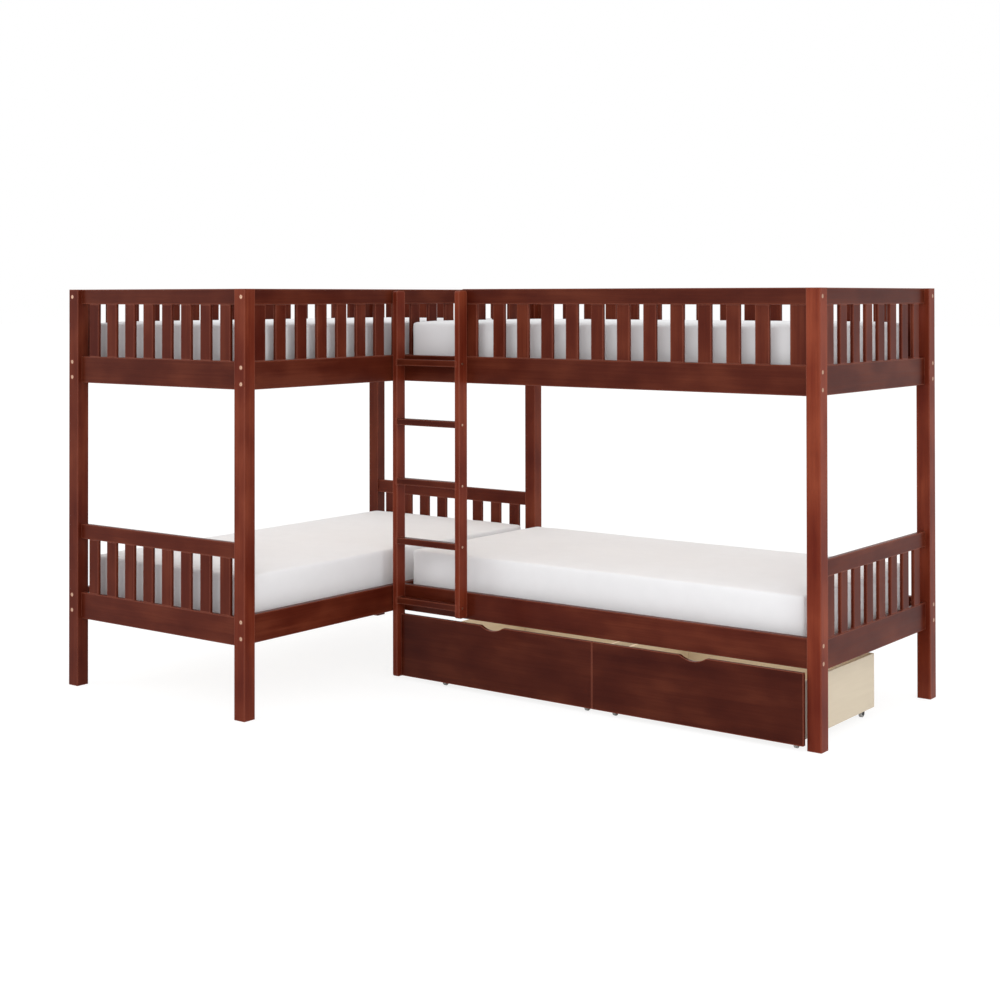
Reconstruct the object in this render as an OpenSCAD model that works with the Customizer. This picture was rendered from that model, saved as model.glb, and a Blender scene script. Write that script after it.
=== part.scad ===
// L-shaped set of two twin-over-twin bunk beds that share a corner, with a fixed
// ladder and two rolling under-bed drawers. Millimetres, +Z up. The left bunk runs
// along Y, towards the wall, and the right bunk runs along X. Outlines are written
// from the outer front corner of the left bunk, and at_base() moves that corner so
// that the origin lies on the floor below the middle of the whole set.

/* [Mattresses] */
// Length of the left bunk's mattresses
mattress_l = 1905; // [1800:5:2000]
// Length of the right bunk's mattresses
right_mattress_l = 1945; // [1800:5:2050]
// Width of each mattress
mattress_w = 965; // [900:5:1100]
// Thickness of each mattress
mattress_t = 210; // [120:5:220]
// Radius of a mattress's upright corners
mattress_r = 30; // [15:1:60]
// Free space past each end of a mattress in the left bunk
end_gap = 3.5; // [2:0.5:20]
// Free space beside each long side of a mattress
side_gap = 22; // [8:1:40]
// Free space between the left bunk and the right bunk's mattresses
corner_gap = 2; // [2:1:60]
// Free space between the right bunk's mattresses and its end panel
right_end_gap = 27; // [5:1:80]

/* [Posts] */
// Width of the square posts
post_w = 59; // [54:1:80]
// Height of the posts
post_h = 1717; // [1660:1:1900]
// Radius of the posts' and boards' long edges
edge_r = 3; // [1:0.5:5]

/* [Side rails] */
// Thickness of the long rails
rail_t = 30; // [26:1:34]
// Height of the side rails that carry the beds
side_rail_h = 114; // [105:1:140]
// Height of every top rail
top_rail_h = 64; // [50:1:80]
// Setback of the long rails from the posts' outer faces
rail_inset = 6; // [2:1:8]
// Underside of the lower side rails above the floor
lower_rail_z = 302; // [296:1:330]
// Underside of the upper side rails above the floor
upper_rail_z = 1313; // [1290:1:1330]
// Top of the bed slats above the side rails' underside
deck_rise = 54; // [48:1:60]

/* [End panels] */
// Thickness of the end panels' rails
end_t = 22; // [19:1:28]
// Length of the tenons that hold the end panels' rails in the posts
end_tenon_l = 15; // [10:1:20]
// Setback of the front and right end panels from the posts' outer faces
end_inset = 21; // [18:1:34]
// Underside of the lower end panels above the floor
lower_end_z = 290; // [280:1:300]
// Top of the front and right lower end panels above the floor
lower_end_top = 700; // [640:1:760]
// Top of the back lower end panel above the floor
back_end_top = 718; // [640:1:780]

/* [Upright slats] */
// Width of an upright slat
slat_w = 60; // [50:1:66]
// Thickness of an upright slat
slat_t = 15; // [12:1:17]
// Clear gap between upright slats in the end panels
end_slat_gap = 55.6; // [50:0.2:64]
// Clear gap between upright slats in the left bunk's guards
left_slat_gap = 62.5; // [58:0.1:70]
// Clear gap between upright slats in the right bunk's guards
right_slat_gap = 64.7; // [58:0.1:70]
// Smallest gap at each end of a row of upright slats
min_end_gap = 40; // [30:1:45]
// Width of the boards at the ends of each long guard
guard_end_w = 72; // [62:1:80]
// Length of the tenon on each end of an upright slat
tenon_l = 12; // [8:1:16]

/* [Bed bases] */
// Width of a bed slat
bed_slat_w = 70; // [50:1:90]
// Thickness of a bed slat
bed_slat_t = 15; // [12:1:20]
// Distance from one bed slat to the next
bed_slat_pitch = 145; // [120:1:170]
// Height and width of the strips that carry the bed slats
cleat_w = 22; // [18:1:26]

/* [Ladder] */
// Thickness of the ladder's stiles, along the bed
stile_t = 24; // [18:1:28]
// Depth of the ladder's stiles
stile_d = 54; // [50:1:70]
// Clear width between the stiles
ladder_w = 324; // [290:1:400]
// Space between the left bunk's outer face and the left stile
ladder_gap = 1; // [1:1:20]
// Drop from the posts' tops to the stiles' tops
stile_drop = 7; // [2:1:27]
// Foot of the long stile above the floor
long_foot_z = 18; // [5:1:60]
// Foot of the short stile above the floor
short_foot_z = 310; // [300:1:340]
// Radius of the stiles' corners
stile_r = 11; // [6:1:18]
// Height of the lowest rung's middle above the floor
rung_z = 352.5; // [340:0.5:365]
// Distance from one rung to the next
rung_pitch = 261; // [235:1:265]
// Height of a rung
rung_h = 28; // [22:1:34]
// Depth of a rung
rung_d = 36; // [30:1:46]
// Number of rungs
rung_count = 5; // [4:1:5]

/* [Drawers] */
// Thickness of the drawer fronts
front_t = 15; // [12:1:20]
// Reach of the drawer fronts before the rail above, as the drawers stand
front_reach = 30; // [2:1:34]
// Gap below the drawer fronts
front_z = 21; // [8:1:26]
// Gap between the drawer fronts and the rail above
front_top_gap = 10; // [8:1:40]
// Running gap between the two fronts, and beside the ladder and the right end post
front_gap = 2; // [2:1:10]
// Distance from the left bunk to the middle of the gap between the fronts
front_split = 1034; // [980:1:1070]
// Overhang of the left front past its box, on the left
left_overhang = 190; // [150:1:200]
// Distance from each box's inner side to the gap between the fronts
box_setback = [19, 57];
// Gap between the right box and the right end post
box_end_gap = 20; // [14:1:30]
// Depth of the drawer boxes
box_d = 647; // [500:1:720]
// Thickness of the boxes' plywood sides and back
ply_t = 12; // [9:1:15]
// Thickness of the boxes' plywood bottoms
bottom_t = 9; // [6:1:12]
// Drop from a front's top edge to its box's top edge
box_drop = 42; // [10:1:60]
// Width of the hand notch in a front's top edge
notch_w = 128; // [100:1:150]
// Depth of the hand notch
notch_d = 18; // [14:1:34]
// Distance from each front's right end to the middle of its notch
notch_x = [507, 470];

/* [Casters] */
// Diameter of a caster wheel
wheel_d = 30; // [26:1:32]
// Width of a caster wheel
wheel_w = 14; // [10:1:18]
// Height of a caster from the floor to its plate's top
caster_h = 35; // [34:1:40]
// Distance from a box's outer side to a caster's middle
caster_side = 30; // [28:1:60]
// Distance from a box's front to the front casters' axle
caster_front = 26; // [24:1:60]
// Distance from a box's back to the back casters' axle
caster_back = 55; // [30:1:120]

/* [Fasteners] */
// Diameter of the rail bolts
bolt_d = 6; // [5:0.5:8]
// Diameter of the rail bolts' heads
bolt_head_d = 15; // [12:1:17]
// Distance from a rail's end to its barrel nuts
nut_set = 32; // [26:1:40]
// Distance between the two bolts in a side rail's end
bolt_spacing = 66; // [56:1:70]
// Shift of the corner post's cross bolts, so that they pass the others
cross_shift = 14; // [11:1:16]
// Diameter of the wood screws
screw_d = 5; // [4:0.5:6]
// Length of the wood screws below their heads
screw_l = 45; // [35:1:55]

/* [Hidden] */

cherry = "#6b2b1b";
cherry_light = "#7d3826";
birch = "#cebe9f";
steel = "#b9b7b2";
cloth = "#eeeceb";
grey_rubber = "#9a9a98";
pine = "#d8b98a";

$fn = 32;
over = 1;      // how far a cut runs past a face
soft_gap = 0.3; // a mattress lies this far above its slats

// Plan of the two bunks
bed_l = mattress_l + 2 * end_gap + 2 * post_w;
bed_w = mattress_w + 2 * side_gap + 2 * (rail_t + rail_inset);
right_l = corner_gap + right_mattress_l + right_end_gap + post_w;
total_x = bed_w + right_l;
right_y = bed_l - bed_w;
span_end = bed_w - 2 * post_w;
span_left = bed_l - 2 * post_w;
span_back = right_l - post_w;
span_front = span_back + rail_inset;
front_face = right_y + rail_inset;
rail_axis = rail_inset + rail_t / 2;

// Heights
guard_z = upper_rail_z + side_rail_h;
top_rail_z = post_h - top_rail_h;
slat_l = top_rail_z - guard_z;
lower_deck_z = lower_rail_z + deck_rise;
upper_deck_z = upper_rail_z + deck_rise;

// Tenons and mortises
tenon_in = 6;
tenon_t = slat_t - 6;
mortise_fit = 0.2;
end_tenon_t = end_t - 12;

// Rows of upright slats
end_pitch = slat_w + end_slat_gap;
left_pitch = slat_w + left_slat_gap;
right_pitch = slat_w + right_slat_gap;

// Ladder
stile_top = post_h - stile_drop;
stile_x1 = bed_w + ladder_gap;
stile_x2 = stile_x1 + stile_t + ladder_w;
stile_y = front_face - stile_d;
rung_inset = 2;
rung_tenon = 8;
rung_x = stile_x1 + stile_t - rung_tenon;
rung_z_list = [for (i = [0 : rung_count - 1]) rung_z + i * rung_pitch];
guard_x = stile_x2;
guard_l = total_x - post_w - guard_x;

// Drawers: [left, right] ends of fronts and boxes
front_x = [
    [stile_x1 + stile_t + front_gap, bed_w + front_split - front_gap / 2],
    [bed_w + front_split + front_gap / 2, total_x - post_w - front_gap]
];
box_x = [
    [front_x[0][0] + left_overhang, bed_w + front_split - box_setback[0]],
    [bed_w + front_split + box_setback[1], total_x - post_w - box_end_gap]
];
front_h = lower_rail_z - front_top_gap - front_z;
front_y = front_face - front_reach;
box_y = front_y + front_t;
box_z = caster_h;
box_h = front_z + front_h - box_drop - box_z;
axle_d = 6;
caster_plate_w = 44;
wheel_fit = 0.08;
caster_y = [box_y + caster_front, box_y + box_d - caster_back];

// Bolts
head_sink = 0.5;
head_t = 2.5;
hole_fit = 0.3;
nut_d = 10;
nut_skin = 5;
nut_l = rail_t - nut_skin - 1.5;
nut_from = nut_skin + hole_fit - rail_t / 2;
// Setback of the back end panel, which clears the heads of the corner post's cross bolts
back_inset = rail_axis + bolt_head_d / 2 + 0.5;
bolt_l = post_w + nut_set + nut_d;
guard_bolt_z = post_h - top_rail_h / 2;
upper_bolt_z = upper_rail_z + side_rail_h / 2;
lower_bolt_z = lower_rail_z + side_rail_h / 2;
bolt_z = [
    guard_bolt_z,
    upper_bolt_z + bolt_spacing / 2, upper_bolt_z - bolt_spacing / 2,
    lower_bolt_z + bolt_spacing / 2, lower_bolt_z - bolt_spacing / 2
];
cross_z = [
    guard_bolt_z - cross_shift,
    upper_bolt_z + bolt_spacing / 2 - cross_shift, upper_bolt_z - bolt_spacing / 2 + cross_shift,
    lower_bolt_z + bolt_spacing / 2 - cross_shift, lower_bolt_z - bolt_spacing / 2 + cross_shift
];
// Each set: x, y where the bolts enter, the heading they point in, the side their nuts open to, heights
left_bolts = [[rail_axis, 0, 90, -1, bolt_z], [rail_axis, bed_l, -90, 1, bolt_z]];
inner_bolts = [[bed_w - rail_axis, 0, 90, 1, bolt_z], [bed_w - rail_axis, bed_l, -90, -1, bolt_z]];
front_bolts = [[total_x, right_y + rail_axis, 180, -1, bolt_z]];
back_bolts = [
    [total_x, bed_l - rail_axis, 180, 1, bolt_z],
    [bed_w - post_w, bed_l - rail_axis, 0, -1, cross_z]
];
all_bolts = concat(left_bolts, inner_bolts, front_bolts, back_bolts);

// Screws and brackets at the ladder and at the inner corner
screw_head_d = 10;
screw_head_t = 2;
bracket_leg = 50;
bracket_t = 3;
bracket_h = 36;
bracket_rise = deck_rise + 2;
bracket_hole = 34;
bracket_screw_l = 22;
ladder_bolt_l = 62;
ladder_bolt_head = 12;
ladder_bolt_rise = 75;
// Each ladder bolt: x, height
ladder_bolt_at = [
    [stile_x1 + stile_t / 2, lower_rail_z + side_rail_h - 14],
    [stile_x1 + stile_t / 2, upper_rail_z + side_rail_h - 14],
    [stile_x2 + stile_t / 2, lower_rail_z + ladder_bolt_rise],
    [stile_x2 + stile_t / 2, upper_rail_z + ladder_bolt_rise],
    [stile_x2 + stile_t / 2, guard_bolt_z]
];
rung_screw_y = stile_y + rung_inset + rung_d / 2;
inner_face = bed_w - rail_inset;
front_inner = front_face + rail_t;

// ---- Placing ----

module at_base() {
    translate([-total_x / 2, -bed_l / 2, 0]) children();
}

// Local x runs along a panel and local y runs inwards from its outer face
module from_front(x, y) {
    translate([x, y, 0]) children();
}

module from_back(x, y) {
    translate([x, y, 0]) mirror([0, 1, 0]) children();
}

module from_left(x, y) {
    translate([x, y, 0]) mirror([1, -1, 0]) children();
}

module from_right(x, y) {
    translate([x, y, 0]) mirror([1, 0, 0]) mirror([1, -1, 0]) children();
}

// ---- Boards ----

module rounded_rect(w, h, r) {
    translate([r, 0]) square([w - 2 * r, h]);
    translate([0, r]) square([w, h - 2 * r]);
    for (x = [r, w - r], y = [r, h - r]) translate([x, y]) circle(r);
}

// A board along x, t thick in y and h high in z
module board_x(l, t, h, r = edge_r) {
    rotate([90, 0, 90]) linear_extrude(l) rounded_rect(t, h, r);
}

// An upright board, w wide in x and t thick in y
module board_z(w, t, l, r = edge_r) {
    linear_extrude(l) rounded_rect(w, t, r);
}

// ---- Upright slats ----

// Left edges of the slats in a row that is centred in a span
function slat_row(span, pitch) =
    let (n = floor((span - 2 * min_end_gap - slat_w) / pitch) + 1)
    let (first = (span - (n - 1) * pitch - slat_w) / 2)
    [for (i = [0 : n - 1]) first + i * pitch];

end_row = slat_row(span_end, end_pitch);

// Left edges in a long guard of length l, between its end boards
function guard_row(l, pitch) = [for (x = slat_row(l - 2 * guard_end_w, pitch)) guard_end_w + x];

// Tenoned slats at the given left edges, w wide, between heights z0 and z1, in a panel t thick
module slats(edges, w, z0, z1, t) {
    for (x = edges) translate([x, (t - slat_t) / 2, z0]) {
        board_z(w, slat_t, z1 - z0);
        translate([tenon_in, (slat_t - tenon_t) / 2, -tenon_l])
            cube([w - 2 * tenon_in, tenon_t, z1 - z0 + 2 * tenon_l]);
    }
}

// Mortises for those slats, opening at height z and running up (1) or down (-1)
module mortises(edges, w, z, way, t) {
    deep = tenon_l + 2 * over;
    from = z - (way > 0 ? over : deep - over);
    for (x = edges)
        translate([x + tenon_in - mortise_fit, (t - tenon_t) / 2 - mortise_fit, from])
            cube([w - 2 * tenon_in + 2 * mortise_fit, tenon_t + 2 * mortise_fit, deep]);
}

// The wide boards at the two ends of a guard l long
function guard_ends(l) = [0, l - guard_end_w];

module guard_mortises(l, pitch, z, way) {
    mortises(guard_row(l, pitch), slat_w, z, way, rail_t);
    mortises(guard_ends(l), guard_end_w, z, way, rail_t);
}

// ---- Panels, in local coordinates ----

// The tenons of an end rail h high at height z, grown on every side to cut their mortises
module end_tenons(z, h, grow = 0) {
    long = end_tenon_l + grow;
    translate([-long, (end_t - end_tenon_t) / 2 - grow, z + 10 - grow])
        cube([span_end + 2 * long, end_tenon_t + 2 * grow, h - 20 + 2 * grow]);
}

module end_rails(z0, z1) {
    difference() {
        union() {
            translate([0, 0, z0]) board_x(span_end, end_t, side_rail_h);
            end_tenons(z0, side_rail_h);
        }
        mortises(end_row, slat_w, z0 + side_rail_h, -1, end_t);
    }
    difference() {
        union() {
            translate([0, 0, z1 - top_rail_h]) board_x(span_end, end_t, top_rail_h);
            end_tenons(z1 - top_rail_h, top_rail_h);
        }
        mortises(end_row, slat_w, z1 - top_rail_h, 1, end_t);
    }
}

// Everything that an end panel's tenons need cut from its two posts
module end_joints(lower_top) {
    end_tenons(lower_end_z, side_rail_h, mortise_fit);
    end_tenons(lower_top - top_rail_h, top_rail_h, mortise_fit);
    end_tenons(upper_rail_z, side_rail_h, mortise_fit);
    end_tenons(top_rail_z, top_rail_h, mortise_fit);
}

module end_slats(lower_top) {
    slats(end_row, slat_w, lower_end_z + side_rail_h, lower_top - top_rail_h, end_t);
    slats(end_row, slat_w, guard_z, top_rail_z, end_t);
}

module side_rail(l, z) {
    translate([0, 0, z]) board_x(l, rail_t, side_rail_h);
}

module upper_side_rail(l, guard_from, guard_length, pitch) {
    difference() {
        side_rail(l, upper_rail_z);
        translate([guard_from, 0, 0]) guard_mortises(guard_length, pitch, guard_z, -1);
    }
}

module guard_top_rail(l, pitch) {
    difference() {
        translate([0, 0, top_rail_z]) board_x(l, rail_t, top_rail_h);
        guard_mortises(l, pitch, top_rail_z, 1);
    }
}

module guard_slats(l, pitch) {
    slats(guard_row(l, pitch), slat_w, guard_z, top_rail_z, rail_t);
    slats(guard_ends(l), guard_end_w, guard_z, top_rail_z, rail_t);
}

// ---- Bolts and their bores ----

// Puts a bolt's own frame, x along the bolt and +y to its nut's open side, at each place of the sets
module each_bolt(sets) {
    for (s = sets, z = s[4])
        translate([s[0], s[1], z]) rotate([0, 0, s[2]])
            mirror([0, s[3] < 0 ? 1 : 0, 0]) children();
}

module x_cylinder(d, l) {
    rotate([0, 90, 0]) cylinder(d = d, h = l);
}

module y_cylinder(d, l) {
    rotate([-90, 0, 0]) cylinder(d = d, h = l);
}

module rail_bolt() {
    difference() {
        union() {
            translate([head_sink, 0, 0]) x_cylinder(bolt_head_d, head_t);
            translate([head_sink, 0, 0]) x_cylinder(bolt_d, bolt_l);
        }
        rotate([0, 90, 0]) cylinder(d = 4.6, h = head_sink + 1.8, $fn = 6);
    }
}

module post_bore() {
    translate([-over, 0, 0]) x_cylinder(bolt_head_d + 2 * hole_fit, over + head_sink + head_t);
    translate([-over, 0, 0]) x_cylinder(bolt_d + 2 * hole_fit, post_w + 2 * over);
}

module rail_bore() {
    translate([post_w - over, 0, 0]) x_cylinder(bolt_d + 2 * hole_fit, bolt_l - post_w + 3 * over);
    translate([post_w + nut_set, nut_skin - rail_t / 2, 0]) y_cylinder(nut_d + 2 * hole_fit, rail_t);
}

module barrel_nut() {
    translate([post_w + nut_set, nut_from, 0]) difference() {
        y_cylinder(nut_d, nut_l);
        translate([-nut_d, -nut_from, 0]) x_cylinder(bolt_d + 0.1, 2 * nut_d);
    }
}

module drilled_for(sets) {
    difference() {
        children();
        each_bolt(sets) rail_bore();
    }
}

// ---- Posts ----

// A post with the bores of the given bolts, and cut by its children
module post(x, y, sets) {
    color(cherry_light) at_base() difference() {
        translate([x, y, 0]) board_z(post_w, post_w, post_h);
        each_bolt(sets) post_bore();
        children();
    }
}

module front_end() { from_front(post_w, end_inset) children(); }

module back_end() { from_back(post_w, bed_l - back_inset) children(); }

module right_end() { from_right(total_x - end_inset, right_y + post_w) children(); }

module post_front_left() {
    post(0, 0, left_bolts) front_end() end_joints(lower_end_top);
}

module post_front_inner() {
    post(bed_w - post_w, 0, inner_bolts) front_end() end_joints(lower_end_top);
}

module post_back_left() {
    post(0, bed_l - post_w, left_bolts) back_end() end_joints(back_end_top);
}

module post_corner() {
    post(bed_w - post_w, bed_l - post_w, concat(inner_bolts, [back_bolts[1]])) back_end()
        end_joints(back_end_top);
}

module post_front_right() {
    post(total_x - post_w, right_y, front_bolts) right_end() end_joints(lower_end_top);
}

module post_back_right() {
    post(total_x - post_w, bed_l - post_w, [back_bolts[0]]) right_end() end_joints(lower_end_top);
}

// ---- End panels ----

module front_end_upper_rails() {
    color(cherry) at_base() front_end() end_rails(upper_rail_z, post_h);
}

module front_end_lower_rails() {
    color(cherry) at_base() front_end() end_rails(lower_end_z, lower_end_top);
}

module front_end_slats() { color(cherry_light) at_base() front_end() end_slats(lower_end_top); }

module back_end_upper_rails() {
    color(cherry) at_base() back_end() end_rails(upper_rail_z, post_h);
}

module back_end_lower_rails() {
    color(cherry) at_base() back_end() end_rails(lower_end_z, back_end_top);
}

module back_end_slats() { color(cherry_light) at_base() back_end() end_slats(back_end_top); }

module right_end_upper_rails() {
    color(cherry) at_base() right_end() end_rails(upper_rail_z, post_h);
}

module right_end_lower_rails() {
    color(cherry) at_base() right_end() end_rails(lower_end_z, lower_end_top);
}

module right_end_slats() { color(cherry_light) at_base() right_end() end_slats(lower_end_top); }

// ---- Long sides ----

module left_side() { from_left(rail_inset, post_w) children(); }

module inner_side() { from_right(inner_face, post_w) children(); }

module back_side() { from_back(bed_w, bed_l - rail_inset) children(); }

module front_side() { from_front(inner_face, front_face) children(); }

module left_side_rail_lower() {
    color(cherry) at_base() drilled_for(left_bolts) left_side() side_rail(span_left, lower_rail_z);
}

module left_side_rail_upper() {
    color(cherry) at_base() drilled_for(left_bolts) left_side()
        upper_side_rail(span_left, 0, span_left, left_pitch);
}

module left_guard_top_rail() {
    color(cherry) at_base() drilled_for(left_bolts) left_side() guard_top_rail(span_left, left_pitch);
}

module left_guard_slats() {
    color(cherry_light) at_base() left_side() guard_slats(span_left, left_pitch);
}

module inner_side_rail_lower() {
    color(cherry) at_base() difference() {
        drilled_for(inner_bolts) inner_side() side_rail(span_left, lower_rail_z);
        bracket_screws() screw_bore(bracket_screw_l);
    }
}

module inner_side_rail_upper() {
    color(cherry) at_base() difference() {
        drilled_for(inner_bolts) inner_side() upper_side_rail(span_left, 0, span_left, left_pitch);
        bracket_screws() screw_bore(bracket_screw_l);
    }
}

module inner_guard_top_rail() {
    color(cherry) at_base() drilled_for(inner_bolts) inner_side() guard_top_rail(span_left, left_pitch);
}

module inner_guard_slats() {
    color(cherry_light) at_base() inner_side() guard_slats(span_left, left_pitch);
}

module back_side_rail_lower() {
    color(cherry) at_base() drilled_for(back_bolts) back_side() side_rail(span_back, lower_rail_z);
}

module back_side_rail_upper() {
    color(cherry) at_base() drilled_for(back_bolts) back_side()
        upper_side_rail(span_back, 0, span_back, right_pitch);
}

module back_guard_top_rail() {
    color(cherry) at_base() drilled_for(back_bolts) back_side() guard_top_rail(span_back, right_pitch);
}

module back_guard_slats() {
    color(cherry_light) at_base() back_side() guard_slats(span_back, right_pitch);
}

module front_side_rail_lower() {
    color(cherry) at_base() difference() {
        drilled_for(front_bolts) front_side() side_rail(span_front, lower_rail_z);
        bracket_screws() screw_bore(bracket_screw_l);
        each_ladder_bolt() ladder_bore();
    }
}

module front_side_rail_upper() {
    color(cherry) at_base() difference() {
        drilled_for(front_bolts) front_side()
            upper_side_rail(span_front, guard_x - inner_face, guard_l, right_pitch);
        bracket_screws() screw_bore(bracket_screw_l);
        each_ladder_bolt() ladder_bore();
    }
}

module front_guard_top_rail() {
    color(cherry) at_base() difference() {
        drilled_for(front_bolts) from_front(guard_x, front_face) guard_top_rail(guard_l, right_pitch);
        each_ladder_bolt() ladder_bore();
    }
}

module front_guard_slats() {
    color(cherry_light) at_base() from_front(guard_x, front_face) guard_slats(guard_l, right_pitch);
}

// ---- Ladder ----

module stile(x, foot_z) {
    difference() {
        translate([x, stile_y, foot_z]) board_x(stile_t, stile_d, stile_top - foot_z, stile_r);
        for (z = rung_z_list)
            translate([rung_x, stile_y + rung_inset - mortise_fit, z - rung_h / 2 - mortise_fit])
                cube([ladder_w + 2 * rung_tenon, rung_d + 2 * mortise_fit, rung_h + 2 * mortise_fit]);
        rung_screws() screw_bore(screw_l);
        each_ladder_bolt() ladder_bore();
    }
}

module ladder_long_stile() { color(cherry_light) at_base() stile(stile_x1, long_foot_z); }

module ladder_short_stile() { color(cherry_light) at_base() stile(stile_x2, short_foot_z); }

module ladder_rungs() {
    tenon_play = 0.5;
    color(cherry) at_base() difference() {
        for (z = rung_z_list)
            translate([rung_x + tenon_play, stile_y + rung_inset, z - rung_h / 2])
                board_x(ladder_w + 2 * (rung_tenon - tenon_play), rung_d, rung_h);
        rung_screws() screw_bore(screw_l);
    }
}

// ---- Bed bases and mattresses ----

// A strip along a side rail l long, which stops short of the barrel nuts at both ends
module cleat(l, z) {
    short = nut_set + nut_d / 2 + 3;
    translate([short, rail_t, z + deck_rise - bed_slat_t - cleat_w])
        cube([l - 2 * short, cleat_w, cleat_w]);
}

module slat_cleats() {
    color(pine) at_base() for (z = [lower_rail_z, upper_rail_z]) {
        left_side() cleat(span_left, z);
        inner_side() cleat(span_left, z);
        back_side() cleat(span_back, z);
        front_side() cleat(span_front, z);
    }
}

// Bed slats across the long sides, in a row l long, with their tops at height z
module bed_slats(l, z) {
    play = 2;
    n = floor((l - bed_slat_w) / bed_slat_pitch) + 1;
    first = (l - (n - 1) * bed_slat_pitch - bed_slat_w) / 2;
    for (i = [0 : n - 1])
        translate([first + i * bed_slat_pitch, rail_t + play, z - bed_slat_t])
            cube([bed_slat_w, mattress_w + 2 * side_gap - 2 * play, bed_slat_t]);
}

module left_bed_slats_lower() { color(pine) at_base() left_side() bed_slats(span_left, lower_deck_z); }

module left_bed_slats_upper() { color(pine) at_base() left_side() bed_slats(span_left, upper_deck_z); }

module right_bed_slats_lower() { color(pine) at_base() front_side() bed_slats(span_front, lower_deck_z); }

module right_bed_slats_upper() { color(pine) at_base() front_side() bed_slats(span_front, upper_deck_z); }

module mattress(x, y, w, l, z) {
    color(cloth) at_base() translate([x, y, z + soft_gap])
        linear_extrude(mattress_t) rounded_rect(w, l, mattress_r);
}

module left_mattress(z) {
    mattress(rail_inset + rail_t + side_gap, post_w + end_gap, mattress_w, mattress_l, z);
}

module right_mattress(z) {
    mattress(bed_w + corner_gap, front_inner + side_gap, right_mattress_l, mattress_w, z);
}

module left_mattress_lower() { left_mattress(lower_deck_z); }

module left_mattress_upper() { left_mattress(upper_deck_z); }

module right_mattress_lower() { right_mattress(lower_deck_z); }

module right_mattress_upper() { right_mattress(upper_deck_z); }

// ---- Drawers ----

// A notch with a round floor that runs smoothly into a rounded shoulder on each side, cut from a
// top edge at y = 0
module hand_notch() {
    shoulder_r = 18;
    half = notch_w / 2;
    centres = (half * half + notch_d * notch_d) / (2 * notch_d);
    floor_r = centres - shoulder_r;
    meet_x = half * floor_r / centres;
    intersection() {
        translate([0, floor_r - notch_d]) circle(floor_r, $fn = 96);
        translate([-meet_x, -notch_d]) square([2 * meet_x, notch_d + over]);
    }
    for (side = [-1, 1]) scale([side, 1])
        difference() {
            translate([meet_x - 0.5, -notch_d]) square([half - meet_x + 0.5, notch_d + over]);
            translate([half, -shoulder_r]) circle(shoulder_r);
        }
}

module drawer_front(i) {
    w = front_x[i][1] - front_x[i][0];
    color(cherry) at_base() translate([front_x[i][0], box_y, front_z])
        rotate([90, 0, 0]) linear_extrude(front_t) difference() {
            rounded_rect(w, front_h, 2);
            translate([w - notch_x[i], front_h]) hand_notch();
        }
}

module drawer_box(i) {
    w = box_x[i][1] - box_x[i][0];
    color(birch) at_base() translate([box_x[i][0], box_y, box_z]) {
        for (x = [0, w - ply_t]) translate([x, 0, 0]) cube([ply_t, box_d, box_h]);
        translate([ply_t, box_d - ply_t, 0]) cube([w - 2 * ply_t, ply_t, box_h]);
    }
}

module drawer_bottom(i) {
    w = box_x[i][1] - box_x[i][0];
    color(birch) at_base() translate([box_x[i][0] + ply_t, box_y, box_z])
        cube([w - 2 * ply_t, box_d - ply_t, bottom_t]);
}

// Middles of a box's casters along x
function caster_x(i) = [box_x[i][0] + caster_side, box_x[i][1] - caster_side];

module caster_fork() {
    plate = [caster_plate_w, caster_plate_w, 2];
    cheek_t = 2;
    cheek_gap = wheel_w + 1.2;
    cheek_w = 16;
    axle_z = wheel_d / 2;
    translate([-plate[0] / 2, -plate[1] / 2, caster_h - plate[2]]) cube(plate);
    for (side = [-1, 1]) translate([side * (cheek_gap + cheek_t) / 2 - cheek_t / 2, 0, 0]) {
        translate([0, -cheek_w / 2, axle_z]) cube([cheek_t, cheek_w, caster_h - axle_z - 1]);
        translate([0, 0, axle_z]) x_cylinder(cheek_w, cheek_t);
    }
    translate([-cheek_gap / 2 - cheek_t - 1.5, 0, axle_z]) x_cylinder(axle_d, cheek_gap + 2 * cheek_t + 3);
}

module drawer_casters(i) {
    color(steel) at_base() for (x = caster_x(i), y = caster_y) translate([x, y, 0]) caster_fork();
}

// A wheel about the x axis: a tyre with rounded shoulders and a raised hub
module caster_wheel() {
    shoulder = 2.5;
    rotate([0, 90, 0]) difference() {
        rotate_extrude($fn = 64) {
            translate([0, -wheel_w / 2 + shoulder]) square([wheel_d / 2, wheel_w - 2 * shoulder]);
            translate([0, -wheel_w / 2]) square([wheel_d / 2 - shoulder, wheel_w]);
            for (s = [-1, 1]) translate([wheel_d / 2 - shoulder, s * (wheel_w / 2 - shoulder)])
                circle(shoulder);
        }
        cylinder(d = axle_d + 2 * wheel_fit, h = 2 * wheel_w, center = true);
    }
}

module wheel_pair(i, y) {
    color(grey_rubber) at_base() for (x = caster_x(i)) translate([x, y, wheel_d / 2]) caster_wheel();
}

module drawer_1_front() { drawer_front(0); }

module drawer_1_box() { drawer_box(0); }

module drawer_1_bottom() { drawer_bottom(0); }

module drawer_1_casters() { drawer_casters(0); }

module drawer_1_front_wheels() { wheel_pair(0, caster_y[0]); }

module drawer_1_back_wheels() { wheel_pair(0, caster_y[1]); }

module drawer_2_front() { drawer_front(1); }

module drawer_2_box() { drawer_box(1); }

module drawer_2_bottom() { drawer_bottom(1); }

module drawer_2_casters() { drawer_casters(1); }

module drawer_2_front_wheels() { wheel_pair(1, caster_y[0]); }

module drawer_2_back_wheels() { wheel_pair(1, caster_y[1]); }

// ---- Fasteners ----

module rail_bolts() { color(steel) at_base() each_bolt(all_bolts) rail_bolt(); }

module barrel_nuts() { color(steel) at_base() each_bolt(all_bolts) barrel_nut(); }

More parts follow.
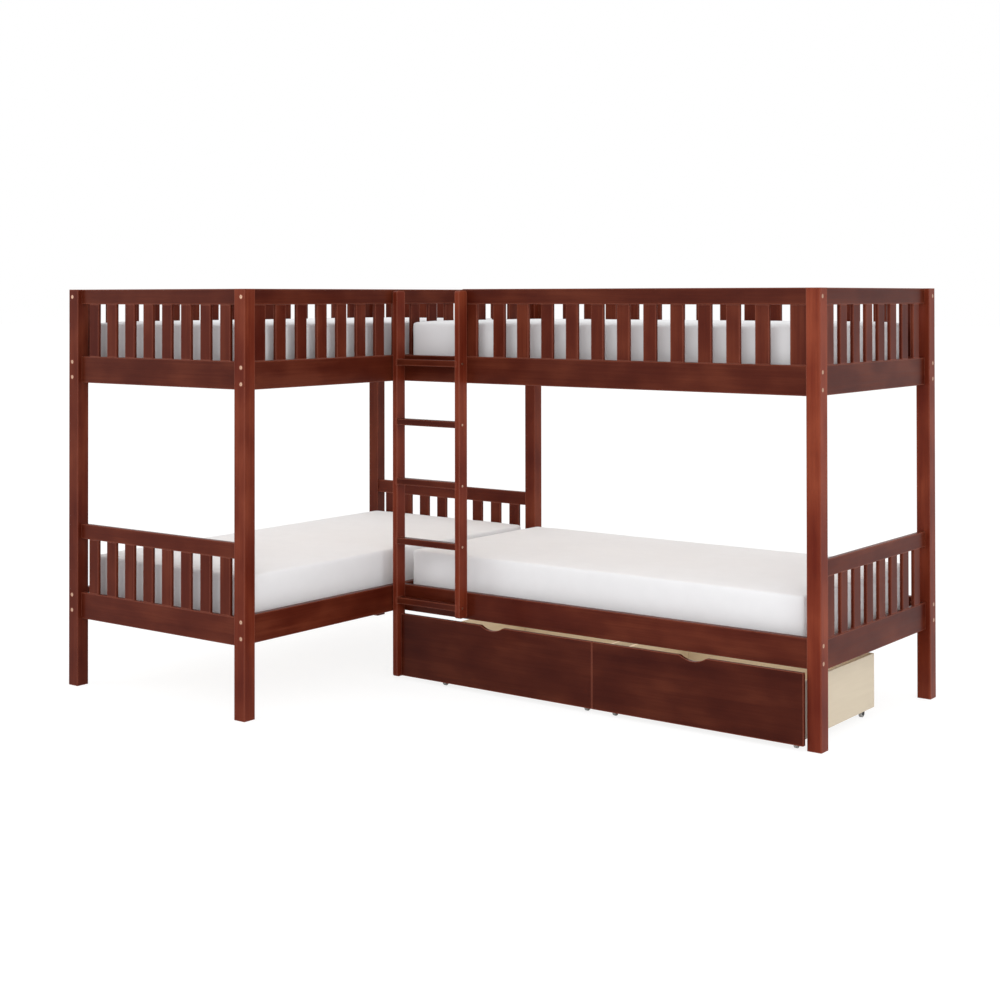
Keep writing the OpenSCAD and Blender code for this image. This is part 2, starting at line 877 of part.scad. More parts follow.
// A wood screw's own frame has x along the screw, with its head before x = 0
module screw(l) {
    translate([-screw_head_t, 0, 0]) x_cylinder(screw_head_d, screw_head_t);
    x_cylinder(screw_d, l);
}

module screw_bore(l) {
    translate([-over, 0, 0]) x_cylinder(screw_d + 0.1, l + over + 0.5);
}

module rung_screws() {
    for (z = rung_z_list) {
        translate([stile_x1, rung_screw_y, z]) children();
        translate([stile_x2 + stile_t, rung_screw_y, z]) rotate([0, 0, 180]) children();
    }
}

module bracket_screws() {
    for (z = [lower_rail_z, upper_rail_z], rise = [10, 26]) {
        translate([inner_face + bracket_t, front_inner + bracket_hole, z + bracket_rise + rise])
            rotate([0, 0, 180]) children();
        translate([inner_face + bracket_hole, front_inner + bracket_t, z + bracket_rise + rise])
            rotate([0, 0, -90]) children();
    }
}

module wood_screws() {
    color(steel) at_base() {
        rung_screws() screw(screw_l);
        bracket_screws() screw(bracket_screw_l);
    }
}

module corner_brackets() {
    color(steel) at_base() difference() {
        for (z = [lower_rail_z, upper_rail_z]) translate([inner_face, front_inner, z + bracket_rise]) {
            cube([bracket_t, bracket_leg, bracket_h]);
            cube([bracket_leg, bracket_t, bracket_h]);
        }
        bracket_screws() screw_bore(bracket_screw_l);
    }
}

module each_ladder_bolt() {
    for (p = ladder_bolt_at) translate([p[0], front_inner, p[1]]) rotate([0, 0, -90]) children();
}

module ladder_bore() {
    translate([-over, 0, 0]) x_cylinder(bolt_d + 0.1, ladder_bolt_l + over + 0.5);
}

module ladder_bolts() {
    color(steel) at_base() each_ladder_bolt() {
        translate([-screw_head_t, 0, 0]) x_cylinder(ladder_bolt_head, screw_head_t);
        x_cylinder(bolt_d, ladder_bolt_l);
    }
}

post_front_left();
post_front_inner();
post_back_left();
post_corner();
post_front_right();
post_back_right();
front_end_upper_rails();
front_end_lower_rails();
front_end_slats();
back_end_upper_rails();
back_end_lower_rails();
back_end_slats();
right_end_upper_rails();
right_end_lower_rails();
right_end_slats();
left_side_rail_lower();
left_side_rail_upper();
left_guard_top_rail();
left_guard_slats();
inner_side_rail_lower();
inner_side_rail_upper();
inner_guard_top_rail();
inner_guard_slats();
back_side_rail_lower();
back_side_rail_upper();
back_guard_top_rail();
back_guard_slats();
front_side_rail_lower();
front_side_rail_upper();
front_guard_top_rail();
front_guard_slats();
ladder_long_stile();
ladder_short_stile();
ladder_rungs();
slat_cleats();
left_bed_slats_lower();
left_bed_slats_upper();
right_bed_slats_lower();
right_bed_slats_upper();
left_mattress_lower();
left_mattress_upper();
right_mattress_lower();
right_mattress_upper();
drawer_1_front();
drawer_1_box();
drawer_1_bottom();
drawer_1_casters();
drawer_1_front_wheels();
drawer_1_back_wheels();
drawer_2_front();
drawer_2_box();
drawer_2_bottom();
drawer_2_casters();
drawer_2_front_wheels();
drawer_2_back_wheels();
rail_bolts();
barrel_nuts();
wood_screws();
ladder_bolts();
corner_brackets();
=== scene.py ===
"""Looks for an L-shaped set of bunk beds in cherry-stained wood, with mattresses and drawers.

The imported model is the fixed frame. This script gives each board, fitting and mattress its
finish, and sets the floor, the lamps and the camera. Lengths are in metres, +Z is up.
"""
import math

import bmesh
import bpy
from mathutils import Matrix, Vector


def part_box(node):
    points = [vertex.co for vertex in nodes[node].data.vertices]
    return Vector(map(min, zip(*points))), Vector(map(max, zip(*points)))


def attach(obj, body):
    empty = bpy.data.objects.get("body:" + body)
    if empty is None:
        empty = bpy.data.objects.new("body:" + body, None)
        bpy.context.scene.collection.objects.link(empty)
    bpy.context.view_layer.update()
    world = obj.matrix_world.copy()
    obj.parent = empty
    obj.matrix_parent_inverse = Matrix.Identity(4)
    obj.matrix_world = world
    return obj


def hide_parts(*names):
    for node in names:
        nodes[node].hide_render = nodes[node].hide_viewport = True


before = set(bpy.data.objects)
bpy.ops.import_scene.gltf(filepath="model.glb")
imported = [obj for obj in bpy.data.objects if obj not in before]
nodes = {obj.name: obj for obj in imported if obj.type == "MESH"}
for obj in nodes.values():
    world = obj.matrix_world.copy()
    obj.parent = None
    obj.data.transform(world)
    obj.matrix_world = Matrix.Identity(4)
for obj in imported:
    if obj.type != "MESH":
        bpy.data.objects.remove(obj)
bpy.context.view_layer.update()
scene = bpy.context.scene


# ---- Camera, at the photograph's viewpoint ----

PHOTO_WIDTH = 1000
FOCAL_PX = 1659.4
SENSOR_MM = 36
FRAME_SHIFT = -0.21835
FAR_CLIP = 200
EYE = (4.2888, -5.6725, 1.68585)
YAW, PITCH, ROLL = 0.644, 0.0088, -0.0012

camera_data = bpy.data.cameras.new("photo_camera")
camera_data.sensor_width = SENSOR_MM
camera_data.lens = SENSOR_MM * FOCAL_PX / PHOTO_WIDTH
camera_data.shift_y = FRAME_SHIFT
camera_data.clip_end = FAR_CLIP
camera = bpy.data.objects.new("photo_camera", camera_data)
scene.collection.objects.link(camera)
camera.matrix_world = (
    Matrix.Translation(EYE)
    @ Matrix.Rotation(YAW, 4, "Z")
    @ Matrix.Rotation(math.pi / 2 + PITCH, 4, "X")
    @ Matrix.Rotation(ROLL, 4, "Z")
)
scene.camera = camera
scene.view_settings.view_transform = "Standard"


# ---- Finishes ----

class Finish:
    """A material with a short way to add and join its nodes."""

    def __init__(self, name, color, roughness, **sockets):
        self.material = bpy.data.materials.new(name)
        self.material.use_nodes = True
        self.tree = self.material.node_tree
        self.shader = self.tree.nodes["Principled BSDF"]
        self.set("Base Color", (*color, 1))
        self.set("Roughness", roughness)
        for socket, value in sockets.items():
            self.set(socket.replace("_", " "), value)

    def set(self, socket, value):
        self.shader.inputs[socket].default_value = value

    def feed(self, node, socket, value):
        """Gives a node's socket a value, or another node's output."""
        if isinstance(value, bpy.types.NodeSocket):
            self.tree.links.new(value, node.inputs[socket])
        else:
            node.inputs[socket].default_value = value

    def add(self, kind, inputs=(), **settings):
        node = self.tree.nodes.new("ShaderNode" + kind)
        for key, value in settings.items():
            setattr(node, key, value)
        for socket, value in dict(inputs).items():
            self.feed(node, socket, value)
        return node

    def math(self, operation, a, b=0.0):
        return self.add("Math", {0: a, 1: b}, operation=operation).outputs[0]

    def vector(self, operation, a, b):
        node = self.add("VectorMath", {0: a, 1: b}, operation=operation)
        return node.outputs["Value" if operation == "DOT_PRODUCT" else "Vector"]

    def noise(self, vector, detail, roughness=0.5, distortion=0.0):
        inputs = {"Vector": vector, "Scale": 1.0, "Detail": detail, "Roughness": roughness,
                  "Distortion": distortion}
        return self.add("TexNoise", inputs).outputs["Fac"]

    def weighted(self, *parts):
        """The sum of patterns, each with its share."""
        total = None
        for pattern, share in parts:
            part = self.math("MULTIPLY", pattern, share)
            total = part if total is None else self.math("ADD", total, part)
        return total

    def between(self, value, low, high, out_low=0.0, out_high=1.0):
        inputs = {"Value": value, "From Min": low, "From Max": high,
                  "To Min": out_low, "To Max": out_high}
        return self.add("MapRange", inputs).outputs["Result"]

    def ramp(self, value, *stops):
        node = self.add("ValToRGB", {"Fac": value})
        elements = node.color_ramp.elements
        while len(elements) < len(stops):
            elements.new(0.5)
        for element, (position, color) in zip(elements, stops):
            element.position = position
            element.color = (*color, 1)
        return node.outputs["Color"]

    def mix(self, factor, a, b, blend_type="MIX"):
        """A mix of two colours. The node's colour sockets are the ones numbered 6 and 7."""
        node = self.add("Mix", data_type="RGBA", blend_type=blend_type)
        for socket, value in ((0, factor), (6, a), (7, b)):
            self.feed(node, socket, value)
        return node.outputs[2]

    def place(self):
        return self.add("TexCoord").outputs["Object"]

    def normal(self):
        return self.add("NewGeometry").outputs["Normal"]

    def join(self, socket, value):
        self.tree.links.new(value, self.shader.inputs[socket])

    def edges(self, radius):
        """1 where two faces of a board meet, falling to 0 within the radius of the edge."""
        rounded = self.add("Bevel", {"Radius": radius}, samples=BEVEL_SAMPLES).outputs["Normal"]
        return self.between(self.vector("DOT_PRODUCT", rounded, self.normal()), *EDGE_TURN)

    def bump(self, height, strength, distance):
        node = self.add("Bump", {"Height": height, "Strength": strength, "Distance": distance})
        self.join("Normal", node.outputs["Normal"])


AXES = {"x": 0, "y": 1, "z": 2}
# The rounded and the flat normal's dot product: nearly flat, and well on the edge
EDGE_TURN = (0.996, 0.95)
BEVEL_SAMPLES = 6


def stretched(finish, vector, along, fine, long):
    """The vector scaled so that a pattern is drawn out along one axis."""
    scale = [fine] * 3
    scale[AXES[along]] = long
    return finish.vector("MULTIPLY", vector, tuple(scale))


def board_seed(finish, place, cell, start):
    """A random colour that is the same all over one board, from the cell that the board lies in."""
    shifted = finish.vector("SUBTRACT", place, start)
    cells = finish.vector("FLOOR", finish.vector("DIVIDE", shifted, cell), (0, 0, 0))
    return finish.add("TexWhiteNoise", {"Vector": cells}, noise_dimensions="3D").outputs["Color"]


def shaded(color, share):
    return tuple(c * share for c in color)


# How light each part's colour is: 1 leaves the three tones as they are, and less is darker. The
# values are matched part by part to how light each part looks, so their spread over the one stain
# is painted light and shade.
POST_STAIN_AND_SHADE = {"front_left": 0.88, "front_inner": 1.14, "back_left": 0.72, "corner": 1.04,
              "front_right": 1.45, "back_right": 1.25}
RAIL_STAIN_AND_SHADE = {"upper": 0.66, "lower": 0.77}
STILE_STAIN_AND_SHADE, RUNG_STAIN_AND_SHADE, SLAT_STAIN_AND_SHADE, FRONT_STAIN_AND_SHADE = 1.30, 0.62, 0.80, 0.57
STAIN_DARK = (0.082, 0.0098, 0.0042)
STAIN_MIDDLE = (0.118, 0.0185, 0.0080)
STAIN_LIGHT = (0.175, 0.0350, 0.0155)
BOARD_SPREAD = 0.03
EASED_EDGE = 0.007
# Colour and share of the lighter band on board edges: partly stain rubbed thin on eased edges,
# partly a painted highlight where the edges catch light
WORN_EDGE_AND_HIGHLIGHT = (0.27, 0.078, 0.048)
EDGE_WEAR_AND_HIGHLIGHT = 0.8


def stained_wood(name, along, cell, start, depth):
    """Satin cherry stain over a close-grained wood, with its grain along one axis. Its edges are
    lightened as worn stain and a painted highlight, and depth scales its tones part by part as
    painted light and shade.
    """
    finish = Finish(name, (0.11, 0.018, 0.008), 0.34, Coat_Weight=0.05, Coat_Roughness=0.14,
                    Specular_IOR_Level=0.06)
    place = finish.place()
    seed = board_seed(finish, place, cell, start)
    moved = finish.vector("ADD", place, finish.vector("MULTIPLY", seed, (9, 7, 8)))
    figure = finish.noise(stretched(finish, moved, along, 16, 1.1), 3, 0.55, 0.8)
    streaks = finish.noise(stretched(finish, moved, along, 150, 2.6), 5, 0.62)
    pores = finish.noise(stretched(finish, moved, along, 700, 22), 2)
    cloud = finish.noise(stretched(finish, moved, along, 6.5, 4.0), 2)
    tone = finish.weighted((figure, 0.3), (streaks, 0.18), (cloud, 0.52))
    board = finish.add("SeparateColor", {"Color": seed}).outputs["Red"]
    tone = finish.math("ADD", tone, finish.between(board, 0, 1, -BOARD_SPREAD, BOARD_SPREAD))
    # depth scales all three tones part by part: painted light and shade over the one stain
    color = finish.ramp(tone, (0.36, shaded(STAIN_DARK, depth)),
                        (0.5, shaded(STAIN_MIDDLE, depth)), (0.64, shaded(STAIN_LIGHT, depth)))
    pore_mask = finish.between(pores, 0.3, 0.42, 0.8, 1.0)
    color = finish.mix(1.0, color, pore_mask, "MULTIPLY")
    # Edges lightened towards a pale pink: worn stain and a painted highlight
    worn_and_highlight = finish.math("MULTIPLY", finish.edges(EASED_EDGE), EDGE_WEAR_AND_HIGHLIGHT)
    finish.join("Base Color", finish.mix(worn_and_highlight, color, (*WORN_EDGE_AND_HIGHLIGHT, 1)))
    finish.join("Roughness", finish.between(streaks, 0.3, 0.7, 0.29, 0.41))
    height = finish.math("ADD", finish.math("MULTIPLY", streaks, 0.6), pores)
    finish.bump(height, 0.1, 0.0003)
    return finish.material


def pale_wood(name, along, cell, start, dark, light):
    """Plain pale boards, with soft growth rings along one axis."""
    finish = Finish(name, light, 0.55)
    place = finish.place()
    seed = board_seed(finish, place, cell, start)
    moved = finish.vector("ADD", place, finish.vector("MULTIPLY", seed, (5, 6, 7)))
    rings = finish.noise(stretched(finish, moved, along, 30, 1.0), 4, 0.6, 1.2)
    fibres = finish.noise(stretched(finish, moved, along, 260, 5), 4, 0.6)
    tone = finish.weighted((rings, 0.6), (fibres, 0.4))
    finish.join("Base Color", finish.ramp(tone, (0.36, dark), (0.62, light)))
    finish.join("Roughness", finish.between(fibres, 0.3, 0.7, 0.48, 0.62))
    finish.bump(fibres, 0.15, 0.0003)
    return finish.material


VENEER_DARK, VENEER_LIGHT = (0.645, 0.545, 0.40), (0.68, 0.58, 0.43)
PLY_DARK, PLY_LIGHT = (0.40, 0.27, 0.15), (0.66, 0.53, 0.36)
# Thickness of one ply and of a box's board, and the normal's Z past which a face is level
PLY, BOX_BOARD, LEVEL_FACE = 0.0024, 0.012, 0.7


def plywood(name, box_low, box_high):
    """Birch plywood for a drawer box: veneered faces, and plies on the boards' top edges."""
    finish = Finish(name, (0.62, 0.51, 0.35), 0.42, Coat_Weight=0.15, Coat_Roughness=0.3)
    place = finish.place()
    rings = finish.noise(finish.vector("MULTIPLY", place, (1.6, 1.6, 18)), 4, 0.55, 1.4)
    fibres = finish.noise(finish.vector("MULTIPLY", place, (9, 9, 240)), 3, 0.6)
    tone = finish.weighted((rings, 0.7), (fibres, 0.3))
    face = finish.ramp(tone, (0.36, VENEER_DARK), (0.62, VENEER_LIGHT))
    split = finish.add("SeparateXYZ", {"Vector": place})
    from_left = finish.math("SUBTRACT", split.outputs["X"], box_low.x)
    from_back = finish.math("SUBTRACT", box_high.y, split.outputs["Y"])
    at_back = finish.math("LESS_THAN", from_back, BOX_BOARD)
    depth = finish.add("Mix", {0: at_back, 2: from_left, 3: from_back}).outputs[0]
    band = finish.math("DIVIDE", finish.math("PINGPONG", depth, PLY), PLY)
    plies = finish.ramp(band, (0.42, PLY_DARK), (0.58, PLY_LIGHT))
    up = finish.add("SeparateXYZ", {"Vector": finish.normal()}).outputs["Z"]
    level = finish.math("GREATER_THAN", finish.math("ABSOLUTE", up), LEVEL_FACE)
    finish.join("Base Color", finish.mix(level, face, plies))
    finish.bump(fibres, 0.1, 0.0002)
    return finish.material


def metal(name, color, roughness, scratch):
    """Bare or painted steel, with fine scratches: a larger number makes them finer."""
    finish = Finish(name, color, roughness, Metallic=1.0)
    grain = finish.noise(finish.vector("MULTIPLY", finish.place(), (scratch,) * 3), 4, 0.6)
    finish.join("Roughness", finish.between(grain, 0.3, 0.7, roughness - 0.08, roughness + 0.1))
    finish.join("Base Color", finish.ramp(grain, (0.3, shaded(color, 0.8)), (0.7, color)))
    finish.bump(grain, 0.08, 0.0002)
    return finish.material


def moulded(name, color, roughness):
    """Moulded plastic with a fine grain and a little dirt."""
    finish = Finish(name, color, roughness)
    grain = finish.noise(finish.vector("MULTIPLY", finish.place(), (900,) * 3), 2)
    dirt = finish.noise(finish.vector("MULTIPLY", finish.place(), (45,) * 3), 3)
    finish.join("Base Color", finish.ramp(dirt, (0.35, shaded(color, 0.75)), (0.65, color)))
    finish.bump(grain, 0.1, 0.0003)
    return finish.material


COVER = (0.862, 0.862, 0.876)
COVER_DARK, COVER_LIGHT = (0.847, 0.847, 0.861), (0.877, 0.877, 0.891)
# Spacing of the ribs, and their share of the bump beside the foam's
KNIT_PITCH, KNIT_SHARE = 0.0016, 0.02


def mattress_cover():
    """An off-white knitted cover: fine ribs each way, and the slow unevenness of soft foam."""
    finish = Finish("mattress_cover", COVER, 0.85, Sheen_Weight=0.15, Sheen_Roughness=0.5)
    place = finish.place()
    split = finish.add("SeparateXYZ", {"Vector": place})
    turns = 2 * math.pi / KNIT_PITCH
    ribs = [finish.math("SINE", finish.math("MULTIPLY", split.outputs[axis], turns))
            for axis in "XYZ"]
    knit = finish.math("ADD", finish.math("ADD", ribs[0], ribs[1]), ribs[2])
    slow = finish.noise(finish.vector("MULTIPLY", place, (2.6,) * 3), 2)
    soft = finish.noise(finish.vector("MULTIPLY", place, (16,) * 3), 3)
    tone = finish.weighted((slow, 0.6), (soft, 0.4))
    finish.join("Base Color", finish.ramp(tone, (0.35, COVER_DARK), (0.65, COVER_LIGHT)))
    height = finish.math("ADD", finish.math("MULTIPLY", knit, KNIT_SHARE), soft)
    finish.bump(height, 0.25, 0.003)
    return finish.material


# ---- Boards and fittings: each CAD node keeps its shape and gets its finish ----

# A board's grain starts afresh in each cell of a grid. A side of WHOLE takes in the whole set,
# and a grid that starts at OUTSIDE starts well clear of it.
WHOLE = 9
OUTSIDE = -4.5
FAR_CORNER = (OUTSIDE, OUTSIDE, 0)
# Heights of a cell that parts the lower bed's slats from the upper's, and a rail from the next
LEVEL, RAIL_LEVEL = 1.0, 0.5
RAIL_CELL = (WHOLE, WHOLE, RAIL_LEVEL)
WHOLE_CELL = (WHOLE, WHOLE, WHOLE)
POST_CELL = (0.5, 0.5, WHOLE)
POST_MARGIN, STILE_MARGIN, DRAWER_MARGIN = 0.2, 0.1, 1
END_PITCH, BED_PITCH, RUNG_PITCH = 0.1156, 0.145, 0.261
LEFT_GUARD_PITCH, RIGHT_GUARD_PITCH = 0.1225, 0.1247
SLAT_WIDTH, BED_SLAT_WIDTH = 0.060, 0.070
GUARD_END_BOARD, GUARD_END_GAP = 0.072, 0.040

PINE_DARK, PINE_LIGHT = (0.50, 0.31, 0.15), (0.68, 0.49, 0.29)
BIRCH_DARK, BIRCH_LIGHT = (0.55, 0.43, 0.27), (0.69, 0.58, 0.41)
ZINC, BLACK_STEEL, TYRE = (0.64, 0.42, 0.30), (0.06, 0.058, 0.056), (0.48, 0.48, 0.47)


def wear(node_name, material):
    mesh = nodes[node_name].data
    mesh.materials.clear()
    mesh.materials.append(material)


def wear_stain(node_name, along, cell, start, depth):
    wear(node_name, stained_wood("cherry_" + node_name, along, cell, start, depth))


def grid_from(axis, value):
    """The start of a grid that has just one cell across the set on all but one axis."""
    start = list(FAR_CORNER)
    start[axis] = value
    return tuple(start)


def row_cell(axis, pitch):
    """A cell that holds one slat of a row, on one level."""
    cell = [WHOLE, WHOLE, LEVEL]
    cell[axis] = pitch
    return tuple(cell)


def row_start(node_name, axis, pitch, width):
    """A point in the gap before the first slat of a row, so that each cell holds one slat."""
    return grid_from(axis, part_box(node_name)[0][axis] - (pitch - width) / 2)


def guard_row_start(node_name, axis, pitch):
    """The same for a guard, whose row of slats is centred between two end boards."""
    low, high = (corner[axis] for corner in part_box(node_name))
    length = high - low
    room = length - 2 * GUARD_END_BOARD - 2 * GUARD_END_GAP - SLAT_WIDTH
    count = int(room / pitch) + 1
    first = low + (length - (count - 1) * pitch - SLAT_WIDTH) / 2
    return grid_from(axis, first - (pitch - SLAT_WIDTH) / 2)


# Each part's stain value in these loops is matched to how light the part looks: painted light and
# shade, not a different stain
for post, stain in POST_STAIN_AND_SHADE.items():
    name = "post_" + post
    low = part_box(name)[0]
    wear_stain(name, "z", POST_CELL, (low.x - POST_MARGIN, low.y - POST_MARGIN, 0), stain)

for side, along in (("front_end", "x"), ("back_end", "x"), ("right_end", "y")):
    for level, stain in RAIL_STAIN_AND_SHADE.items():
        wear_stain(f"{side}_{level}_rails", along, RAIL_CELL, FAR_CORNER, stain)
    name = side + "_slats"
    axis = AXES[along]
    wear_stain(name, "z", row_cell(axis, END_PITCH),
               row_start(name, axis, END_PITCH, SLAT_WIDTH), SLAT_STAIN_AND_SHADE)

for side, along, pitch in (("left", "y", LEFT_GUARD_PITCH), ("inner", "y", LEFT_GUARD_PITCH),
                           ("back", "x", RIGHT_GUARD_PITCH), ("front", "x", RIGHT_GUARD_PITCH)):
    for part, level in (("side_rail_lower", "lower"), ("side_rail_upper", "upper"),
                        ("guard_top_rail", "upper")):
        wear_stain(f"{side}_{part}", along, RAIL_CELL, FAR_CORNER, RAIL_STAIN_AND_SHADE[level])
    name = side + "_guard_slats"
    axis = AXES[along]
    wear_stain(name, "z", row_cell(axis, pitch), guard_row_start(name, axis, pitch), SLAT_STAIN_AND_SHADE)

for name in ("ladder_long_stile", "ladder_short_stile"):
    wear_stain(name, "z", WHOLE_CELL, grid_from(0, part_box(name)[0].x - STILE_MARGIN),
               STILE_STAIN_AND_SHADE)
wear("ladder_rungs", stained_wood("cherry_rungs", "x", (WHOLE, WHOLE, RUNG_PITCH), FAR_CORNER,
                                  RUNG_STAIN_AND_SHADE))

fork_steel = metal("caster_fork_steel", BLACK_STEEL, 0.42, scratch=90)
tyre = moulded("caster_tyre_plastic", TYRE, 0.42)
for number in (1, 2):
    drawer = f"drawer_{number}_"
    name = drawer + "front"
    wear_stain(name, "x", WHOLE_CELL, grid_from(0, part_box(name)[0].x - DRAWER_MARGIN),
               FRONT_STAIN_AND_SHADE)
    wear(drawer + "box", plywood(f"birch_box_{number}", *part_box(drawer + "box")))
    wear(drawer + "bottom", pale_wood(f"birch_bottom_{number}", "x", WHOLE_CELL, FAR_CORNER,
                                      BIRCH_DARK, BIRCH_LIGHT))
    wear(drawer + "casters", fork_steel)
    wear(drawer + "front_wheels", tyre)
    wear(drawer + "back_wheels", tyre)

for side, across, row in (("left", "x", 1), ("right", "y", 0)):
    for level in ("lower", "upper"):
        name = f"{side}_bed_slats_{level}"
        start = row_start(name, row, BED_PITCH, BED_SLAT_WIDTH)
        wear(name, pale_wood("pine_" + name, across, row_cell(row, BED_PITCH), start,
                             PINE_DARK, PINE_LIGHT))
wear("slat_cleats", pale_wood("pine_cleats", "x", RAIL_CELL, FAR_CORNER, PINE_DARK, PINE_LIGHT))

zinc = metal("zinc_plate", ZINC, 0.40, scratch=60)
for name in ("rail_bolts", "barrel_nuts", "wood_screws", "ladder_bolts", "corner_brackets"):
    wear(name, zinc)


# ---- Mattresses ----

# Room left around the foam before it swells, and the radius of its edges
SLACK, EDGE = 0.005, 0.016
# Spacing of the foam block's cuts, and the furthest that a point of it may move
STEP, SWELL_LIMIT = 0.035, 0.009
PRESSURE, CLOTH_STEPS, LAST_FRAME = 4, 5, 20


def apply_modifiers(piece):
    """Bakes a piece's modifiers into its mesh."""
    evaluated = piece.evaluated_get(bpy.context.evaluated_depsgraph_get())
    mesh = bpy.data.meshes.new_from_object(evaluated)
    piece.modifiers.clear()
    piece.data = mesh


def cuts(half):
    """Where a block's faces are divided along one axis: closely at the edges, evenly between."""
    count = math.ceil(2 * (half - EDGE) / STEP)
    even = [(half - EDGE) * (2 * i / count - 1) for i in range(count + 1)]
    return [-half + EDGE / 3, *even, half - EDGE / 3]


def foam_block(size):
    """A block with rounded edges, centred on the origin, a little smaller than the mattress."""
    half = [s / 2 - SLACK for s in size]
    form = bmesh.new()
    bmesh.ops.create_cube(form, size=2)
    bmesh.ops.scale(form, vec=half, verts=form.verts)
    for axis in range(3):
        normal = [float(i == axis) for i in range(3)]
        for cut in cuts(half[axis]):
            bmesh.ops.bisect_plane(form, geom=[*form.verts, *form.edges, *form.faces],
                                   plane_co=[cut * n for n in normal], plane_no=normal)
    for vertex in form.verts:
        core = Vector(max(EDGE - h, min(h - EDGE, c)) for h, c in zip(half, vertex.co))
        out = vertex.co - core
        vertex.co = core + out.normalized() * EDGE
    mesh = bpy.data.meshes.new("foam_block")
    form.to_mesh(mesh)
    form.free()
    return mesh


def swell(piece):
    """Fills a piece out by cloth simulation, with a limit on how far its points move."""
    rest = [v.co.copy() for v in piece.data.vertices]
    settings = piece.modifiers.new("cloth", "CLOTH").settings
    settings.quality = CLOTH_STEPS
    settings.use_pressure = True
    settings.uniform_pressure_force = PRESSURE
    settings.effector_weights.gravity = 0
    for frame_number in range(1, LAST_FRAME + 1):
        scene.frame_set(frame_number)
    apply_modifiers(piece)
    scene.frame_set(1)
    for vertex, start in zip(piece.data.vertices, rest):
        move = vertex.co - start
        if move.length > SWELL_LIMIT:
            move *= SWELL_LIMIT / move.length
        vertex.co = start + move


def swollen_block(size):
    """A swollen foam block that stays inside the mattress's own box."""
    piece = bpy.data.objects.new("foam_block", foam_block(size))
    scene.collection.objects.link(piece)
    swell(piece)
    half = [s / 2 for s in size]
    for vertex in piece.data.vertices:
        for axis in range(3):
            vertex.co[axis] = max(-half[axis], min(half[axis], vertex.co[axis]))
    smooth = piece.modifiers.new("smooth", "SUBSURF")
    smooth.levels = smooth.render_levels = 1
    apply_modifiers(piece)
    mesh = piece.data
    for polygon in mesh.polygons:
        polygon.use_smooth = True
    bpy.data.objects.remove(piece)
    return mesh


cover = mattress_cover()
low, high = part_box("right_mattress_lower")
right_size = high - low
right_mesh = swollen_block(right_size)
for side in ("left", "right"):
    for level in ("lower", "upper"):
        name = f"{side}_mattress_{level}"
        low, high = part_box(name)
        mesh = right_mesh.copy()
        if side == "left":
            mesh.transform(Matrix.Scale((high.y - low.y) / right_size.x, 4, (1, 0, 0)))
            mesh.transform(Matrix.Rotation(math.pi / 2, 4, "Z"))
        mesh.transform(Matrix.Translation((low + high) / 2))
        mesh.materials.append(cover)
        piece = bpy.data.objects.new(f"{side}_{level}_mattress", mesh)
        scene.collection.objects.link(piece)
        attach(piece, "bed")
        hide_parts(name)


# ---- Floor, surroundings and lamps ----

FLOOR_COLOR = (0.86, 0.86, 0.86, 1)
FLOOR_GLOW, GLOW_SHARE = 1.18, 0.72
FLOOR_HALF = 80
SKY_LIGHT, SKY_SEEN = 0.90, 1.0


def join_math(tree, operation, a, b):
    """A Math node's output, from a node's output and either another one or a number."""
    node = tree.nodes.new("ShaderNodeMath")
    node.operation = operation
    tree.links.new(a, node.inputs[0])
    if isinstance(b, bpy.types.NodeSocket):
        tree.links.new(b, node.inputs[1])
    else:
        node.inputs[1].default_value = b
    return node.outputs[0]


def seen_or_mirrored(tree):
    """1 for what the camera sees, directly, mirrored or through glass, and 0 for light."""
    rays = tree.nodes.new("ShaderNodeLightPath").outputs
    seen = join_math(tree, "MAXIMUM", rays["Is Camera Ray"], rays["Is Glossy Ray"])
    return join_math(tree, "MAXIMUM", seen, rays["Is Transmission Ray"])


def floor_finish():
    """A pale floor that reads as white and keeps a soft shadow under the beds."""
    material = bpy.data.materials.new("studio_floor")
    material.use_nodes = True
    tree = material.node_tree
    tree.nodes.clear()
    output = tree.nodes.new("ShaderNodeOutputMaterial")
    diffuse = tree.nodes.new("ShaderNodeBsdfDiffuse")
    diffuse.inputs["Color"].default_value = FLOOR_COLOR
    glow = tree.nodes.new("ShaderNodeEmission")
    glow.inputs["Strength"].default_value = FLOOR_GLOW
    mix = tree.nodes.new("ShaderNodeMixShader")
    share = join_math(tree, "MULTIPLY", seen_or_mirrored(tree), GLOW_SHARE)
    tree.links.new(share, mix.inputs["Fac"])
    tree.links.new(diffuse.outputs[0], mix.inputs[1])
    tree.links.new(glow.outputs[0], mix.inputs[2])
    tree.links.new(mix.outputs[0], output.inputs["Surface"])
    return material


form = bmesh.new()
bmesh.ops.create_grid(form, x_segments=1, y_segments=1, size=FLOOR_HALF)
floor_mesh = bpy.data.meshes.new("studio_floor")
form.to_mesh(floor_mesh)
form.free()
floor_mesh.materials.append(floor_finish())
floor = bpy.data.objects.new("studio_floor", floor_mesh)
scene.collection.objects.link(floor)

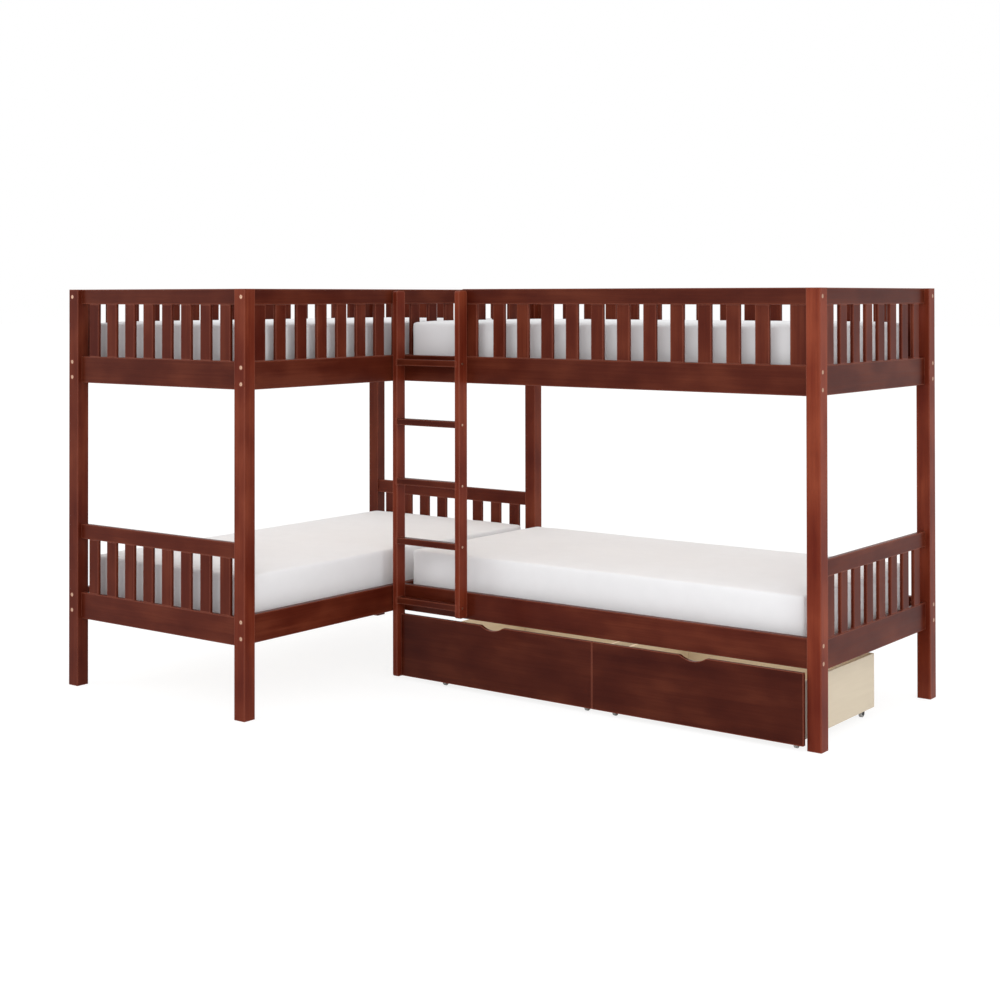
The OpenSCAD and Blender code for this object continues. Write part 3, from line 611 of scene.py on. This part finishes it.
world = bpy.data.worlds.new("studio")
scene.world = world
world.use_nodes = True
sky_tree = world.node_tree
background = sky_tree.nodes["Background"]
background.inputs["Color"].default_value = (1, 1, 1, 1)
strength = sky_tree.nodes.new("ShaderNodeMapRange")
strength.inputs["To Min"].default_value = SKY_LIGHT
strength.inputs["To Max"].default_value = SKY_SEEN
sky_tree.links.new(seen_or_mirrored(sky_tree), strength.inputs["Value"])
sky_tree.links.new(strength.outputs["Result"], background.inputs["Strength"])


def lamp(name, place, target, size, watts):
    """A rectangular lamp that shines from its place towards the target."""
    data = bpy.data.lights.new(name, "AREA")
    data.shape = "RECTANGLE"
    data.size, data.size_y = size
    data.energy = watts
    light = bpy.data.objects.new(name, data)
    light.location = place
    light.rotation_euler = (Vector(target) - Vector(place)).to_track_quat("-Z", "Y").to_euler()
    light.visible_camera = False
    scene.collection.objects.link(light)


lamp("key_softbox", place=(4.5, -5.0, 4.4), target=(0.2, 0, 0.9), size=(3.5, 2.5), watts=64)
lamp("front_softbox", place=(-1.0, -6.5, 2.4), target=(-0.3, 0, 1.0), size=(3.0, 2.4), watts=22)
lamp("left_softbox", place=(-4.8, -4.4, 3.2), target=(-0.4, 0, 0.9), size=(3.0, 2.5), watts=50)
lamp("right_softbox", place=(6.0, -1.6, 1.6), target=(-0.5, -0.5, 0.6), size=(2.4, 2.0),
     watts=42)
lamp("top_softbox", place=(0.3, 0.4, 5.2), target=(0.1, 0, 0), size=(5.0, 4.0), watts=14)

# A weak lamp over the drawers, so that the slot above their fronts shows pale plywood
BAY_X, BAY_Y, BAY_TOP = 0.54, 0.24, 0.335
lamp("bay_fill", place=(BAY_X, BAY_Y, BAY_TOP), target=(BAY_X, BAY_Y, 0), size=(1.7, 0.55),
     watts=3.2)

# A weak lamp under each upper bed, for the light that the upper bed keeps off the lower one
BELOW_SLATS = 0.02
for side in ("left", "right"):
    low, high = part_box(side + "_bed_slats_upper")
    size = high - low
    under = Vector(((low.x + high.x) / 2, (low.y + high.y) / 2, low.z - BELOW_SLATS))
    lamp(side + "_bed_fill", place=under, target=under - Vector((0, 0, 1)),
         size=(size.x, size.y), watts=2.6)
